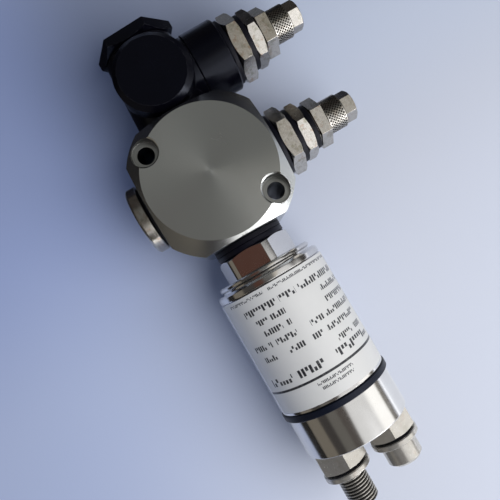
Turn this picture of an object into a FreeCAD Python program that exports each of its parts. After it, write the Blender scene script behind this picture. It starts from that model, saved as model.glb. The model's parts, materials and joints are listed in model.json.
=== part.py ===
"""Pressure sensor: a transmitter on a four-port manifold block, with tube fittings, a plug and an elbow.

Millimetres. The block stands on its underside, whose centre is the origin. Z points up, X runs along the
transmitter and Y along the tube fittings. A turned piece is drawn along its own X axis, from the face that
it seats on, and is then placed at its port.
"""
import FreeCAD, Part
import os
import re

import Sketcher
from FreeCAD import Placement, Rotation, Vector

SIZES = {
    # Manifold block: turned bar with four port flats and two counterbored mounting holes
    "block_height": 50.0,
    "bar_radius": 31.0,
    "edge_chamfer": 6.0,
    "flat_reach": 26.0,
    "port_height": 25.0,
    "port_depth": 15.0,
    "gallery_radius": 5.0,
    "mount_circle_radius": 24.6,
    "mount_hole_radius": 3.3,
    "counterbore_radius": 5.3,
    "counterbore_depth": 6.5,
    "counterbore_rim": 0.5,
    # Port thread that the plug, the elbow, the reducers and the transmitter share
    "thread_radius": 10.5,
    "thread_clearance": 0.1,
    "thread_lead": 0.9,
    "seal_edge": 0.3,
    # Hexagons: the end faces are chamfered to a circle inside the flats
    "hex_face_relief": 0.4,
    "hex_chamfer_slope": 30.0,
    # Blanking plug
    "plug_seal_thickness": 2.3,
    "plug_seal_radius": 13.0,
    "plug_flange_radius": 14.0,
    "plug_flange_thickness": 4.6,
    "plug_flange_edge": 0.9,
    "plug_grip": 9.0,
    "plug_key_flats": 10.0,
    "plug_key_depth": 7.0,
    # Tube fittings: port rings, reducer, adapter, connector and union nut
    "fitting_ring_thickness": 1.9,
    "fitting_ring_radius": 13.2,
    "reducer_flats": 25.0,
    "reducer_length": 5.8,
    "reducer_shank": 12.0,
    "reducer_flow_radius": 4.0,
    "reducer_seal_thickness": 2.4,
    "reducer_seal_radius": 11.4,
    "adapter_flats": 21.0,
    "adapter_length": 4.7,
    "adapter_shank": 9.0,
    "adapter_thread_radius": 6.5,
    "adapter_flow_radius": 2.5,
    "adapter_seal_thickness": 2.2,
    "adapter_seal_radius": 9.3,
    "connector_flats": 18.0,
    "connector_length": 4.7,
    "connector_seat_length": 0.4,
    "connector_seat_radius": 8.2,
    "connector_shank": 7.0,
    "connector_thread_radius": 4.8,
    "tap_allowance": 1.0,
    "stub_radius": 5.2,
    "stub_length": 6.0,
    "spigot_radius": 2.0,
    "spigot_tip": 0.4,
    "spigot_recess": 1.5,
    "spigot_bore_radius": 1.35,
    "nut_gap": 0.4,
    "nut_clearance": 0.08,
    "knurl_radius": 7.0,
    "knurl_length": 8.2,
    "knurl_edge": 0.5,
    "nut_flats": 11.0,
    "nut_hex_length": 4.9,
    "nut_thread_depth": 7.4,
    "nut_cone_length": 2.0,
    "tube_hole_radius": 3.1,
    # How far each hexagon of the two fittings is turned from flat side up
    "direct_reducer_angle": 8.0,
    "direct_adapter_angle": 20.0,
    "direct_connector_angle": 8.0,
    "direct_union_nut_angle": 6.0,
    "elbow_reducer_angle": 11.0,
    "elbow_adapter_angle": 24.0,
    "elbow_connector_angle": 10.0,
    "elbow_union_nut_angle": 28.0,
    # Swivel elbow and its hollow bolt
    "hub_radius": 15.0,
    "hub_half_height": 22.3,
    "hub_chamfer": 2.0,
    "barrel_radius": 14.8,
    "barrel_foot_radius": 16.2,
    "elbow_edge": 0.6,
    "elbow_head_reach": 17.5,
    "elbow_seal_thickness": 1.3,
    "elbow_block_land": 0.3,
    "elbow_seal_radius": 13.9,
    "head_seal_thickness": 0.8,
    "arm_radius": 14.9,
    "arm_reach": 30.0,
    "arm_neck_radius": 14.5,
    "arm_neck_reach": 16.0,
    "arm_port_depth": 11.0,
    "bolt_flats": 29.0,
    "bolt_head_length": 4.6,
    "bolt_grip": 10.0,
    "bolt_bore_radius": 5.5,
    "bolt_waist_radius": 9.0,
    "bolt_waist_half_length": 6.0,
    "bolt_cross_hole_radius": 3.0,
    "bolt_angle": 5.5,
    # Transmitter: port rings, process connection and sensor cell
    "transmitter_ring_thickness": 2.0,
    "transmitter_ring_radius": 14.4,
    "process_shank": 14.0,
    "process_flats": 28.0,
    "process_hex_length": 8.8,
    "process_angle": 13.0,
    "process_corner_radius": 15.4,
    "rib_radius": 20.0,
    "rib_length": 2.1,
    "rib_edge": 0.6,
    "flange_groove_radius": 19.2,
    "flange_groove_length": 0.7,
    "flange_radius": 22.2,
    "flange_length": 2.8,
    "flange_edge": 0.9,
    "neck_radius": 21.5,
    "neck_length": 0.4,
    "process_spigot_length": 6.0,
    "spigot_clearance": 0.1,
    "channel_radius": 2.0,
    "cell_radius": 9.5,
    "cell_length": 7.5,
    "cell_recess_depth": 8.0,
    "cell_clearance": 0.1,
    "cell_boss_radius": 3.0,
    "cell_boss_length": 1.7,
    # Case, label, gasket and head
    "case_radius": 22.3,
    "case_wall": 1.5,
    "case_length": 48.2,
    "label_setback": 0.3,
    "label_end_gap": 1.4,
    "label_thickness": 0.15,
    "gasket_thickness": 2.6,
    "gasket_radius": 22.8,
    "head_radius": 21.8,
    "head_length": 16.1,
    "head_edge": 0.4,
    "head_bore_radius": 19.0,
    "head_cavity_radius": 18.0,
    "head_end_thickness": 5.0,
    "head_spigot_length": 8.0,
    "board_shoulder": 4.1,
    # Boards inside the case
    "carrier_radius": 20.5,
    "carrier_thickness": 3.0,
    "carrier_hole_radius": 6.0,
    "rail_length": 30.0,
    "rail_half_height": 3.0,
    "rail_wall": 1.5,
    "rail_grip": 1.5,
    "board_length": 36.0,
    "board_width": 33.0,
    "board_thickness": 1.6,
    "board_seat_depth": 1.5,
    "board_clearance": 0.1,
    "chip_side": 7.0,
    "chip_height": 1.5,
    "chip_pitch": 9.5,
    "chip_margin": 6.0,
    "link_width": 12.0,
    "link_height": 2.5,
    "link_overlap": 4.0,
    # Round connectors on the head
    "plug_spacing": 22.2,
    "plug_stub_radius": 8.0,
    "plug_hex_flats": 18.4,
    "male_hex_length": 10.0,
    "female_hex_length": 9.0,
    "plug_hex_angle": 25.0,
    "plug_neck_radius": 7.4,
    "plug_neck_length": 0.9,
    "ring_clearance": 0.05,
    "collar_radius": 9.75,
    "collar_length": 2.2,
    "collar_edge": 0.3,
    "male_thread_radius": 6.0,
    "male_thread_length": 13.3,
    "male_thread_lead": 0.8,
    "female_sleeve_radius": 7.2,
    "female_sleeve_length": 8.6,
    "female_sleeve_edge": 1.2,
    "female_socket_radius": 5.6,
    "female_socket_depth": 9.0,
    "insert_radius": 4.4,
    "insert_clearance": 0.05,
    "insert_flange_radius": 6.5,
    "insert_flange_length": 1.5,
    "male_insert_reach": 17.4,
    "female_insert_recess": 0.6,
    "pin_radius": 0.5,
    "pin_recess": 1.5,
    "pin_tail": 0.6,
    "pin_clearance": 0.05,
    "pin_circle_radius": 2.6,
    "contact_radius": 0.8,
    "contact_recess": 0.4,
}

PIN_ANGLES = (45, 135, 225, 315)
CHIP_COUNT = 3
DIRECTIONS = {"+X": 0, "+Y": 90, "-X": 180, "-Y": -90}
WORD = re.compile(r"[a-z][a-z0-9_]*")

doc = FreeCAD.newDocument("pressure_sensor")
sheet = doc.addObject("Spreadsheet::Sheet", "sizes")
for row, (size_name, size_value) in enumerate(SIZES.items(), start=1):
    sheet.set(f"A{row}", size_name)
    sheet.set(f"B{row}", str(size_value))
    sheet.setAlias(f"B{row}", size_name)
doc.recompute()

pieces = []


# Formulas of size names

def expression(formula):
    """Turn a formula of size names into an expression on the sheet."""
    return WORD.sub(lambda word: f"sizes.{word[0]}" if word[0] in SIZES else word[0], formula)


def measure(formula):
    """Give the present value of a formula."""
    return float(sheet.evalExpression(expression(formula)))


def bind(item, path, formula):
    """Tie one property of an object to a formula."""
    item.setExpression(path, expression(formula))


# Sketches and features

def new_body(label):
    """Start a piece that is built up from features."""
    body = doc.addObject("PartDesign::Body", label)
    body.Label = label
    pieces.append(body)
    return body


def origin_item(body, role):
    """Find one of the body's own planes or axes."""
    return next(item for item in body.Origin.OriginFeatures if item.Role == role)


def add_sketch(body, name, plane="XY_Plane", lift=None, turn=None):
    """Attach an empty sketch to a plane of the body, lifted off it or turned in it."""
    sketch = body.newObject("Sketcher::SketchObject", name)
    sketch.AttachmentSupport = [(origin_item(body, plane), "")]
    sketch.MapMode = "FlatFace"
    if lift:
        bind(sketch, "AttachmentOffset.Base.z", lift)
    if turn:
        bind(sketch, "AttachmentOffset.Rotation.Angle", turn)
    return sketch


def pin_point(sketch, geometry, point, x, y):
    """Fix a point of a sketch at two formulas, where "0" puts it on an axis."""
    for kind, formula, axis in (("DistanceX", x, -2), ("DistanceY", y, -1)):
        if formula == "0":
            sketch.addConstraint(Sketcher.Constraint("PointOnObject", geometry, point, axis))
        else:
            number = sketch.addConstraint(Sketcher.Constraint(kind, geometry, point, measure(formula)))
            bind(sketch, f"Constraints[{number}]", formula)


def outline(sketch, corners):
    """Draw a closed outline of straight lines through corners given as pairs of formulas."""
    spots = [Vector(measure(x), measure(y), 0) for x, y in corners]
    first = sketch.GeometryCount
    for start, end in zip(spots, spots[1:] + spots[:1]):
        sketch.addGeometry(Part.LineSegment(start, end), False)
    for index, (x, y) in enumerate(corners):
        line = first + index
        line_before = first + (index - 1) % len(corners)
        sketch.addConstraint(Sketcher.Constraint("Coincident", line_before, 2, line, 1))
        pin_point(sketch, line, 1, x, y)


def circle(sketch, x, y, radius):
    """Draw a circle whose centre and radius are formulas."""
    centre = Vector(measure(x), measure(y), 0)
    ring = sketch.addGeometry(Part.Circle(centre, Vector(0, 0, 1), measure(radius)), False)
    pin_point(sketch, ring, 3, x, y)
    number = sketch.addConstraint(Sketcher.Constraint("Radius", ring, measure(radius)))
    bind(sketch, f"Constraints[{number}]", radius)


def axis_line(sketch, start, end):
    """Draw a construction line that a revolved feature turns about."""
    ends = [Vector(measure(x), measure(y), 0) for x, y in (start, end)]
    line = sketch.addGeometry(Part.LineSegment(*ends), True)
    pin_point(sketch, line, 1, *start)
    pin_point(sketch, line, 2, *end)


def finish_feature(body, feature, removes):
    """Make a feature the body's last one, and check that it changed the solid as it should."""
    before = 0 if body.Shape.isNull() else body.Shape.Volume
    body.Tip = feature
    doc.recompute()
    grew = body.Shape.Volume > before
    if grew == removes:
        raise RuntimeError(f"{body.Label}: {feature.Label} did not change the solid")
    return feature


def revolve(body, sketch, axis="H_Axis"):
    """Add the solid that a profile sweeps about an axis of its sketch."""
    feature = body.newObject("PartDesign::Revolution", "turned_form")
    feature.Profile = sketch
    feature.ReferenceAxis = (sketch, [axis])
    feature.Angle = 360
    return finish_feature(body, feature, removes=False)


def groove(body, sketch, axis="H_Axis"):
    """Cut away the solid that a profile sweeps about an axis of its sketch."""
    feature = body.newObject("PartDesign::Groove", "turned_cut")
    feature.Profile = sketch
    feature.ReferenceAxis = (sketch, [axis])
    feature.Angle = 360
    return finish_feature(body, feature, removes=True)


def pocket(body, sketch, length, forward=True):
    """Cut a sketch's area along its normal, or against it."""
    feature = body.newObject("PartDesign::Pocket", "straight_cut")
    feature.Profile = sketch
    feature.Reversed = forward
    bind(feature, "Length", length)
    return finish_feature(body, feature, removes=True)


def pad(body, sketch, length):
    """Add a sketch's area, drawn out along its normal."""
    feature = body.newObject("PartDesign::Pad", "straight_form")
    feature.Profile = sketch
    bind(feature, "Length", length)
    return finish_feature(body, feature, removes=False)


def repeat_round(body, feature, count, axis):
    """Repeat a cut evenly about one of the body's own axes."""
    pattern = body.newObject("PartDesign::PolarPattern", "round_pattern")
    pattern.Originals = [feature]
    pattern.Axis = (origin_item(body, axis), [""])
    pattern.Angle = 360
    pattern.Occurrences = count
    return finish_feature(body, pattern, removes=True)


def place(piece, x, y="0", direction="+X"):
    """Put a piece on the port axis plane at x and y, with its own X axis along a direction."""
    piece.Placement = Placement(Vector(), Rotation(Vector(0, 0, 1), DIRECTIONS[direction]))
    for letter, formula in (("x", x), ("y", y), ("z", "port_height")):
        bind(piece, f"Placement.Base.{letter}", formula)
    return piece


# Forms that several pieces share

PORT_BORE = "(thread_radius + thread_clearance)"


def hex_corner(flats):
    """Give the radius to a hexagon's corners."""
    return f"({flats} / 2 / cos(30))"


def hex_face(flats):
    """Give the radius of the chamfer circle on a hexagon's end face."""
    return f"({flats} / 2 - hex_face_relief)"


def hex_chamfer(flats):
    """Give the length of a hexagon's end chamfer along its axis."""
    return f"(({hex_corner(flats)} - {hex_face(flats)}) * tan(hex_chamfer_slope))"


def hexagon(flats):
    """Give a hexagon's corners, with one flat upwards."""
    corner = hex_corner(flats)
    corners = []
    for angle in range(0, 360, 60):
        height = "0" if angle % 180 == 0 else f"{corner} * sin({angle})"
        corners.append((f"{corner} * cos({angle})", height))
    return corners


def turned(label, corners):
    """Make a turned piece from its half profile, as pairs of length and radius."""
    body = new_body(label)
    profile = add_sketch(body, "half_profile")
    outline(profile, corners)
    revolve(body, profile)
    return body


def mill_hexagon(body, flats, start, length, turn):
    """Mill six flats on a turned piece, over a length of its axis."""
    sketch = add_sketch(body, "hexagon", "YZ_Plane", lift=start, turn=turn)
    outline(sketch, hexagon(flats))
    circle(sketch, "0", "0", flats)
    pocket(body, sketch, length)


def seal_ring(label, inner, outer, thickness):
    """Make a flat ring with eased outer edges."""
    return turned(label, [
        ("0", inner),
        ("0", f"{outer} - seal_edge"),
        ("seal_edge", outer),
        (f"{thickness} - seal_edge", outer),
        (thickness, f"{outer} - seal_edge"),
        (thickness, inner),
    ])


def male_thread(length, bore):
    """Give the profile of a threaded shank behind the seat face, from its bore outwards."""
    return [
        (f"-{length}", bore),
        (f"-{length}", "thread_radius - thread_lead"),
        (f"-{length} + thread_lead", "thread_radius"),
        ("0", "thread_radius"),
    ]


# Manifold block

def manifold_block():
    body = new_body("manifold_block")
    top_radius = "bar_radius - edge_chamfer"
    bar = add_sketch(body, "bar_profile", "XZ_Plane")
    outline(bar, [
        ("0", "0"),
        (top_radius, "0"),
        ("bar_radius", "edge_chamfer"),
        ("bar_radius", "block_height - edge_chamfer"),
        (top_radius, "block_height"),
        ("0", "block_height"),
    ])
    revolve(body, bar, "V_Axis")

    flats = add_sketch(body, "port_flats")
    outline(flats, [
        ("flat_reach", "flat_reach"),
        ("-flat_reach", "flat_reach"),
        ("-flat_reach", "-flat_reach"),
        ("flat_reach", "-flat_reach"),
    ])
    circle(flats, "0", "0", "2 * flat_reach")
    pocket(body, flats, "block_height")

    port = add_sketch(body, "port_profile", lift="port_height")
    outline(port, [
        ("0", "0"),
        ("flat_reach", "0"),
        ("flat_reach", f"{PORT_BORE} + thread_lead"),
        ("flat_reach - thread_lead", PORT_BORE),
        ("flat_reach - port_depth", PORT_BORE),
        ("flat_reach - port_depth", "gallery_radius"),
        ("0", "gallery_radius"),
    ])
    repeat_round(body, groove(body, port), 4, "Z_Axis")

    hole = add_sketch(body, "mounting_hole", "XZ_Plane")
    hole.AttachmentOffset = Placement(Vector(), Rotation(Vector(0, 1, 0), 45))
    centre = "mount_circle_radius"
    floor = "block_height - counterbore_depth"
    outline(hole, [
        (centre, "0"),
        (f"{centre} + mount_hole_radius", "0"),
        (f"{centre} + mount_hole_radius", floor),
        (f"{centre} + counterbore_radius", floor),
        (f"{centre} + counterbore_radius", "block_height - counterbore_rim"),
        (f"{centre} + counterbore_radius + counterbore_rim", "block_height"),
        (centre, "block_height"),
    ])
    axis_line(hole, (centre, "0"), (centre, "block_height"))
    repeat_round(body, groove(body, hole, "Axis0"), 2, "Z_Axis")


# Blanking plug

def blanking_plug():
    seal = seal_ring("plug_seal", PORT_BORE, "plug_seal_radius", "plug_seal_thickness")
    place(seal, "0", "-flat_reach", "-Y")

    shank = "(plug_grip + plug_seal_thickness)"
    plug = turned("blanking_plug", male_thread(shank, "0") + [
        ("0", "plug_flange_radius - seal_edge"),
        ("seal_edge", "plug_flange_radius"),
        ("plug_flange_thickness - plug_flange_edge", "plug_flange_radius"),
        ("plug_flange_thickness", "plug_flange_radius - plug_flange_edge"),
        ("plug_flange_thickness", "0"),
    ])
    key = add_sketch(plug, "key_socket", "YZ_Plane", lift="plug_flange_thickness")
    outline(key, hexagon("plug_key_flats"))
    pocket(plug, key, "plug_key_depth", forward=False)
    place(plug, "0", "-flat_reach - plug_seal_thickness", "-Y")


# Tube fittings

def reducer(label):
    flats = "reducer_flats"
    tap = "(adapter_thread_radius + thread_clearance)"
    tap_end = "reducer_length + reducer_seal_thickness - adapter_shank - tap_allowance"
    body = turned(label, male_thread("reducer_shank", "reducer_flow_radius") + [
        ("0", hex_face(flats)),
        (hex_chamfer(flats), hex_corner(flats)),
        (f"reducer_length - {hex_chamfer(flats)} / 2", hex_corner(flats)),
        ("reducer_length", f"({hex_corner(flats)} + {hex_face(flats)}) / 2"),
        ("reducer_length", tap),
        (tap_end, tap),
        (tap_end, "reducer_flow_radius"),
    ])
    mill_hexagon(body, flats, "0", "reducer_length", f"{label}_angle")
    return body


def adapter(label):
    flats = "adapter_flats"
    tap = "(connector_thread_radius + thread_clearance)"
    tap_end = "adapter_length - connector_shank - tap_allowance"
    body = turned(label, [
        ("-adapter_shank", "adapter_flow_radius"),
        ("-adapter_shank", "adapter_thread_radius - thread_lead"),
        ("-adapter_shank + thread_lead", "adapter_thread_radius"),
        ("0", "adapter_thread_radius"),
        ("0", f"({hex_corner(flats)} + {hex_face(flats)}) / 2"),
        (f"{hex_chamfer(flats)} / 2", hex_corner(flats)),
        (f"adapter_length - {hex_chamfer(flats)}", hex_corner(flats)),
        ("adapter_length", hex_face(flats)),
        ("adapter_length", tap),
        (tap_end, tap),
        (tap_end, "adapter_flow_radius"),
    ])
    mill_hexagon(body, flats, "0", "adapter_length", f"{label}_angle")
    return body


CONNECTOR_FACE = "(connector_seat_length + connector_length)"
NUT_LENGTH = "(knurl_length + nut_hex_length)"


def tube_connector(label):
    flats = "connector_flats"
    stub_end = f"{CONNECTOR_FACE} + stub_length"
    tip = f"{CONNECTOR_FACE} + nut_gap + {NUT_LENGTH} - spigot_recess"
    body = turned(label, [
        ("-connector_shank", "spigot_bore_radius"),
        ("-connector_shank", "connector_thread_radius - seal_edge"),
        ("-connector_shank + seal_edge", "connector_thread_radius"),
        ("0", "connector_thread_radius"),
        ("0", "connector_seat_radius"),
        ("connector_seat_length", "connector_seat_radius"),
        ("connector_seat_length", hex_corner(flats)),
        (CONNECTOR_FACE, hex_corner(flats)),
        (CONNECTOR_FACE, "stub_radius"),
        (stub_end, "stub_radius"),
        (stub_end, "spigot_radius"),
        (f"{tip} - spigot_tip", "spigot_radius"),
        (tip, "spigot_radius - spigot_tip"),
        (tip, "spigot_bore_radius"),
    ])
    mill_hexagon(body, flats, "connector_seat_length", "connector_length", f"{label}_angle")
    return body


def union_nut(label):
    flats = "nut_flats"
    bore = "(stub_radius + nut_clearance)"
    body = turned(label, [
        ("0", bore),
        ("0", "knurl_radius - knurl_edge"),
        ("knurl_edge", "knurl_radius"),
        ("knurl_length - knurl_edge", "knurl_radius"),
        ("knurl_length", "knurl_radius - knurl_edge"),
        ("knurl_length", hex_corner(flats)),
        (f"{NUT_LENGTH} - {hex_chamfer(flats)}", hex_corner(flats)),
        (NUT_LENGTH, hex_face(flats)),
        (NUT_LENGTH, "tube_hole_radius + seal_edge"),
        (f"{NUT_LENGTH} - seal_edge", "tube_hole_radius"),
        ("nut_thread_depth + nut_cone_length", "tube_hole_radius"),
        ("nut_thread_depth", bore),
    ])
    mill_hexagon(body, flats, "knurl_length", "nut_hex_length", f"{label}_angle")
    return body


def tube_fitting(prefix, x, port_face, ring_names, has_adapter_seal):
    """Screw a whole tube fitting into a port that faces +Y."""
    at = port_face
    for name in ring_names:
        ring = seal_ring(f"{prefix}_{name}", PORT_BORE, "fitting_ring_radius", "fitting_ring_thickness")
        place(ring, x, at, "+Y")
        at += " + fitting_ring_thickness"
    place(reducer(f"{prefix}_reducer"), x, at, "+Y")
    at += " + reducer_length"
    seal = seal_ring(f"{prefix}_reducer_seal", "adapter_thread_radius + thread_clearance",
                     "reducer_seal_radius", "reducer_seal_thickness")
    place(seal, x, at, "+Y")
    at += " + reducer_seal_thickness"
    place(adapter(f"{prefix}_adapter"), x, at, "+Y")
    at += " + adapter_length"
    if has_adapter_seal:
        seal = seal_ring(f"{prefix}_adapter_seal", "connector_thread_radius + thread_clearance",
                         "adapter_seal_radius", "adapter_seal_thickness")
        place(seal, x, at, "+Y")
        at += " + adapter_seal_thickness"
    place(tube_connector(f"{prefix}_connector"), x, at, "+Y")
    at += f" + {CONNECTOR_FACE} + nut_gap"
    place(union_nut(f"{prefix}_union_nut"), x, at, "+Y")


# Swivel elbow

BLOCK_REACH = "(hub_radius + elbow_block_land)"
HUB_DISTANCE = f"(flat_reach + elbow_seal_thickness + {BLOCK_REACH})"


def elbow_body():
    body = new_body("elbow_body")
    barrel = add_sketch(body, "barrel_profile")
    outline(barrel, [
        ("-elbow_head_reach", "0"),
        ("-elbow_head_reach", "barrel_radius - elbow_edge"),
        ("-elbow_head_reach + elbow_edge", "barrel_radius"),
        (f"{BLOCK_REACH} - elbow_edge", "barrel_foot_radius"),
        (BLOCK_REACH, "barrel_foot_radius - elbow_edge"),
        (BLOCK_REACH, "0"),
    ])
    revolve(body, barrel)

    hub = add_sketch(body, "hub_profile", "XZ_Plane")
    outline(hub, [
        ("0", "-hub_half_height"),
        ("hub_radius - hub_chamfer", "-hub_half_height"),
        ("hub_radius", "-hub_half_height + hub_chamfer"),
        ("hub_radius", "hub_half_height - hub_chamfer"),
        ("hub_radius - hub_chamfer", "hub_half_height"),
        ("0", "hub_half_height"),
    ])
    revolve(body, hub, "V_Axis")

    arm = add_sketch(body, "arm_profile")
    outline(arm, [
        ("0", "0"),
        ("arm_neck_radius", "0"),
        ("arm_neck_radius", "arm_neck_reach"),
        ("arm_radius - elbow_edge", "arm_neck_reach"),
        ("arm_radius", "arm_neck_reach + elbow_edge"),
        ("arm_radius", "arm_reach - elbow_edge"),
        ("arm_radius - elbow_edge", "arm_reach"),
        ("0", "arm_reach"),
    ])
    revolve(body, arm, "V_Axis")

    bore = add_sketch(body, "bolt_bore")
    outline(bore, [
        ("-elbow_head_reach", "0"),
        ("-elbow_head_reach", PORT_BORE),
        (BLOCK_REACH, PORT_BORE),
        (BLOCK_REACH, "0"),
    ])
    groove(body, bore)

    port = add_sketch(body, "arm_port")
    port_floor = "arm_reach - arm_port_depth"
    outline(port, [
        ("0", "0"),
        ("gallery_radius", "0"),
        ("gallery_radius", port_floor),
        (PORT_BORE, port_floor),
        (PORT_BORE, "arm_reach - thread_lead"),
        (f"{PORT_BORE} + thread_lead", "arm_reach"),
        ("0", "arm_reach"),
    ])
    groove(body, port, "V_Axis")
    place(body, f"-{HUB_DISTANCE}")


def hollow_bolt():
    flats = "bolt_flats"
    hub = "(head_seal_thickness + elbow_head_reach)"
    tip = f"({hub} + {BLOCK_REACH} + elbow_seal_thickness + bolt_grip)"
    waist_start = f"{hub} - bolt_waist_half_length"
    waist_end = f"{hub} + bolt_waist_half_length"
    body = turned("hollow_bolt", [
        ("-bolt_head_length", "0"),
        ("-bolt_head_length", hex_corner(flats)),
        (f"-{hex_chamfer(flats)}", hex_corner(flats)),
        ("0", hex_face(flats)),
        ("0", "thread_radius"),
        (waist_start, "thread_radius"),
        (waist_start, "bolt_waist_radius"),
        (waist_end, "bolt_waist_radius"),
        (waist_end, "thread_radius"),
        (f"{tip} - thread_lead", "thread_radius"),
        (tip, "thread_radius - thread_lead"),
        (tip, "bolt_bore_radius"),
        (waist_start, "bolt_bore_radius"),
        (waist_start, "0"),
    ])
    mill_hexagon(body, flats, "-bolt_head_length", "bolt_head_length", "bolt_angle")
    hole = add_sketch(body, "cross_hole")
    outline(hole, [
        (hub, "0"),
        (f"{hub} + bolt_cross_hole_radius", "0"),
        (f"{hub} + bolt_cross_hole_radius", "thread_radius"),
        (hub, "thread_radius"),
    ])
    axis_line(hole, (hub, "0"), (hub, "thread_radius"))
    repeat_round(body, groove(body, hole, "Axis0"), 4, "X_Axis")
    place(body, f"-{HUB_DISTANCE} - elbow_head_reach - head_seal_thickness")


def swivel_elbow():
    elbow_body()
    block_seal = seal_ring("elbow_block_seal", PORT_BORE, "elbow_seal_radius", "elbow_seal_thickness")
    place(block_seal, "-flat_reach", "0", "-X")
    head_seal = seal_ring("elbow_head_seal", PORT_BORE, "elbow_seal_radius", "head_seal_thickness")
    place(head_seal, f"-{HUB_DISTANCE} - elbow_head_reach", "0", "-X")
    hollow_bolt()


# Transmitter

PROCESS_AT = "flat_reach + 2 * transmitter_ring_thickness"
RIB_AT = "process_hex_length"
GROOVE_AT = f"{RIB_AT} + rib_length"
FLANGE_AT = f"{GROOVE_AT} + flange_groove_length"
NECK_AT = f"{FLANGE_AT} + flange_length"
CASE_SEAT = f"{NECK_AT} + neck_length"
SPIGOT_END = f"{CASE_SEAT} + process_spigot_length"
CASE_AT = f"{PROCESS_AT} + {CASE_SEAT}"
GASKET_AT = f"{CASE_AT} + case_length"
HEAD_AT = f"{GASKET_AT} + gasket_thickness"
PLUGS_AT = f"{HEAD_AT} + head_length"
CASE_BORE = "(case_radius - case_wall)"
SPIGOT_RADIUS = f"({CASE_BORE} - spigot_clearance)"


def transmitter_rings():
    for index, name in enumerate(("transmitter_seal", "transmitter_washer")):
        ring = seal_ring(name, PORT_BORE, "transmitter_ring_radius", "transmitter_ring_thickness")
        place(ring, f"flat_reach + {index} * transmitter_ring_thickness")


def process_connection():
    flats = "process_flats"
    recess = "cell_radius + cell_clearance"
    recess_floor = f"{SPIGOT_END} - cell_recess_depth"
    body = turned("process_connection", male_thread("process_shank", "channel_radius") + [
        ("0", hex_face(flats)),
        (f"(process_corner_radius - {hex_face(flats)}) * tan(hex_chamfer_slope)", "process_corner_radius"),
        (RIB_AT, "process_corner_radius"),
        (RIB_AT, "rib_radius - rib_edge"),
        (f"{RIB_AT} + rib_edge", "rib_radius"),
        (f"{GROOVE_AT} - rib_edge", "rib_radius"),
        (GROOVE_AT, "rib_radius - rib_edge"),
        (GROOVE_AT, "flange_groove_radius"),
        (FLANGE_AT, "flange_groove_radius"),
        (FLANGE_AT, "flange_radius - flange_edge"),
        (f"{FLANGE_AT} + flange_edge", "flange_radius"),
        (NECK_AT, "flange_radius"),
        (NECK_AT, "neck_radius"),
        (CASE_SEAT, "neck_radius"),
        (CASE_SEAT, SPIGOT_RADIUS),
        (SPIGOT_END, SPIGOT_RADIUS),
        (SPIGOT_END, recess),
        (recess_floor, recess),
        (recess_floor, "channel_radius"),
    ])
    mill_hexagon(body, flats, "0", RIB_AT, "process_angle")
    place(body, PROCESS_AT)

    cell = turned("sensor_cell", [
        ("0", "0"),
        ("0", "cell_radius"),
        ("cell_length", "cell_radius"),
        ("cell_length", "cell_boss_radius"),
        ("cell_length + cell_boss_length", "cell_boss_radius"),
        ("cell_length + cell_boss_length", "0"),
    ])
    place(cell, f"{PROCESS_AT} + {recess_floor}")


def case_and_label():
    case = turned("case_tube", [
        ("0", CASE_BORE),
        ("0", "case_radius - seal_edge"),
        ("seal_edge", "case_radius"),
        ("case_length - seal_edge", "case_radius"),
        ("case_length", "case_radius - seal_edge"),
        ("case_length", CASE_BORE),
    ])
    place(case, CASE_AT)
    label_length = "case_length - label_setback - label_end_gap"
    label = turned("type_label", [
        ("0", "case_radius"),
        ("0", "case_radius + label_thickness"),
        (label_length, "case_radius + label_thickness"),
        (label_length, "case_radius"),
    ])
    place(label, f"{CASE_AT} + label_setback")


def connector_head():
    gasket_bore = f"{SPIGOT_RADIUS} + spigot_clearance"
    place(seal_ring("head_gasket", gasket_bore, "gasket_radius", "gasket_thickness"), GASKET_AT)

    spigot_start = "-gasket_thickness - head_spigot_length"
    cavity_end = "head_length - head_end_thickness"
    body = turned("connector_head", [
        (spigot_start, "head_bore_radius"),
        (spigot_start, SPIGOT_RADIUS),
        ("0", SPIGOT_RADIUS),
        ("0", "head_radius"),
        ("head_length - head_edge", "head_radius"),
        ("head_length", "head_radius - head_edge"),
        ("head_length", "0"),
        (cavity_end, "0"),
        (cavity_end, "head_cavity_radius"),
        ("board_shoulder", "head_cavity_radius"),
        ("board_shoulder", "head_bore_radius"),
    ])
    holes = add_sketch(body, "connector_holes", "YZ_Plane", lift="head_length")
    for side in ("", "-"):
        circle(holes, f"{side}plug_spacing / 2", "0", "plug_stub_radius + thread_clearance")
    pocket(body, holes, "head_end_thickness", forward=False)
    place(body, HEAD_AT)


# Boards inside the case

CARRIER_AT = f"{PROCESS_AT} + {SPIGOT_END}"
BOARD_AT = f"{CARRIER_AT} + carrier_thickness - board_seat_depth"
HEAD_BOARD_AT = f"{HEAD_AT} + board_shoulder - board_thickness"


def board_carrier():
    body = turned("board_carrier", [
        ("0", "carrier_hole_radius"),
        ("0", "carrier_radius"),
        ("carrier_thickness", "carrier_radius"),
        ("carrier_thickness", "carrier_hole_radius"),
    ])
    rails = add_sketch(body, "rails", "YZ_Plane", lift="carrier_thickness")
    for side in ("", "-"):
        inner = f"{side}(board_width / 2 - rail_grip)"
        outer = f"{side}(board_width / 2 + rail_wall)"
        outline(rails, [
            (inner, "-rail_half_height"),
            (outer, "-rail_half_height"),
            (outer, "rail_half_height"),
            (inner, "rail_half_height"),
        ])
    pad(body, rails, "rail_length")
    slot = add_sketch(body, "board_slot", "YZ_Plane", lift="carrier_thickness - board_seat_depth")
    half_width = "(board_width / 2 + board_clearance)"
    half_height = "(board_thickness / 2 + board_clearance)"
    outline(slot, [
        (f"-{half_width}", f"-{half_height}"),
        (half_width, f"-{half_height}"),
        (half_width, half_height),
        (f"-{half_width}", half_height),
    ])
    pocket(body, slot, "board_seat_depth + rail_length")
    place(body, CARRIER_AT)


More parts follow.
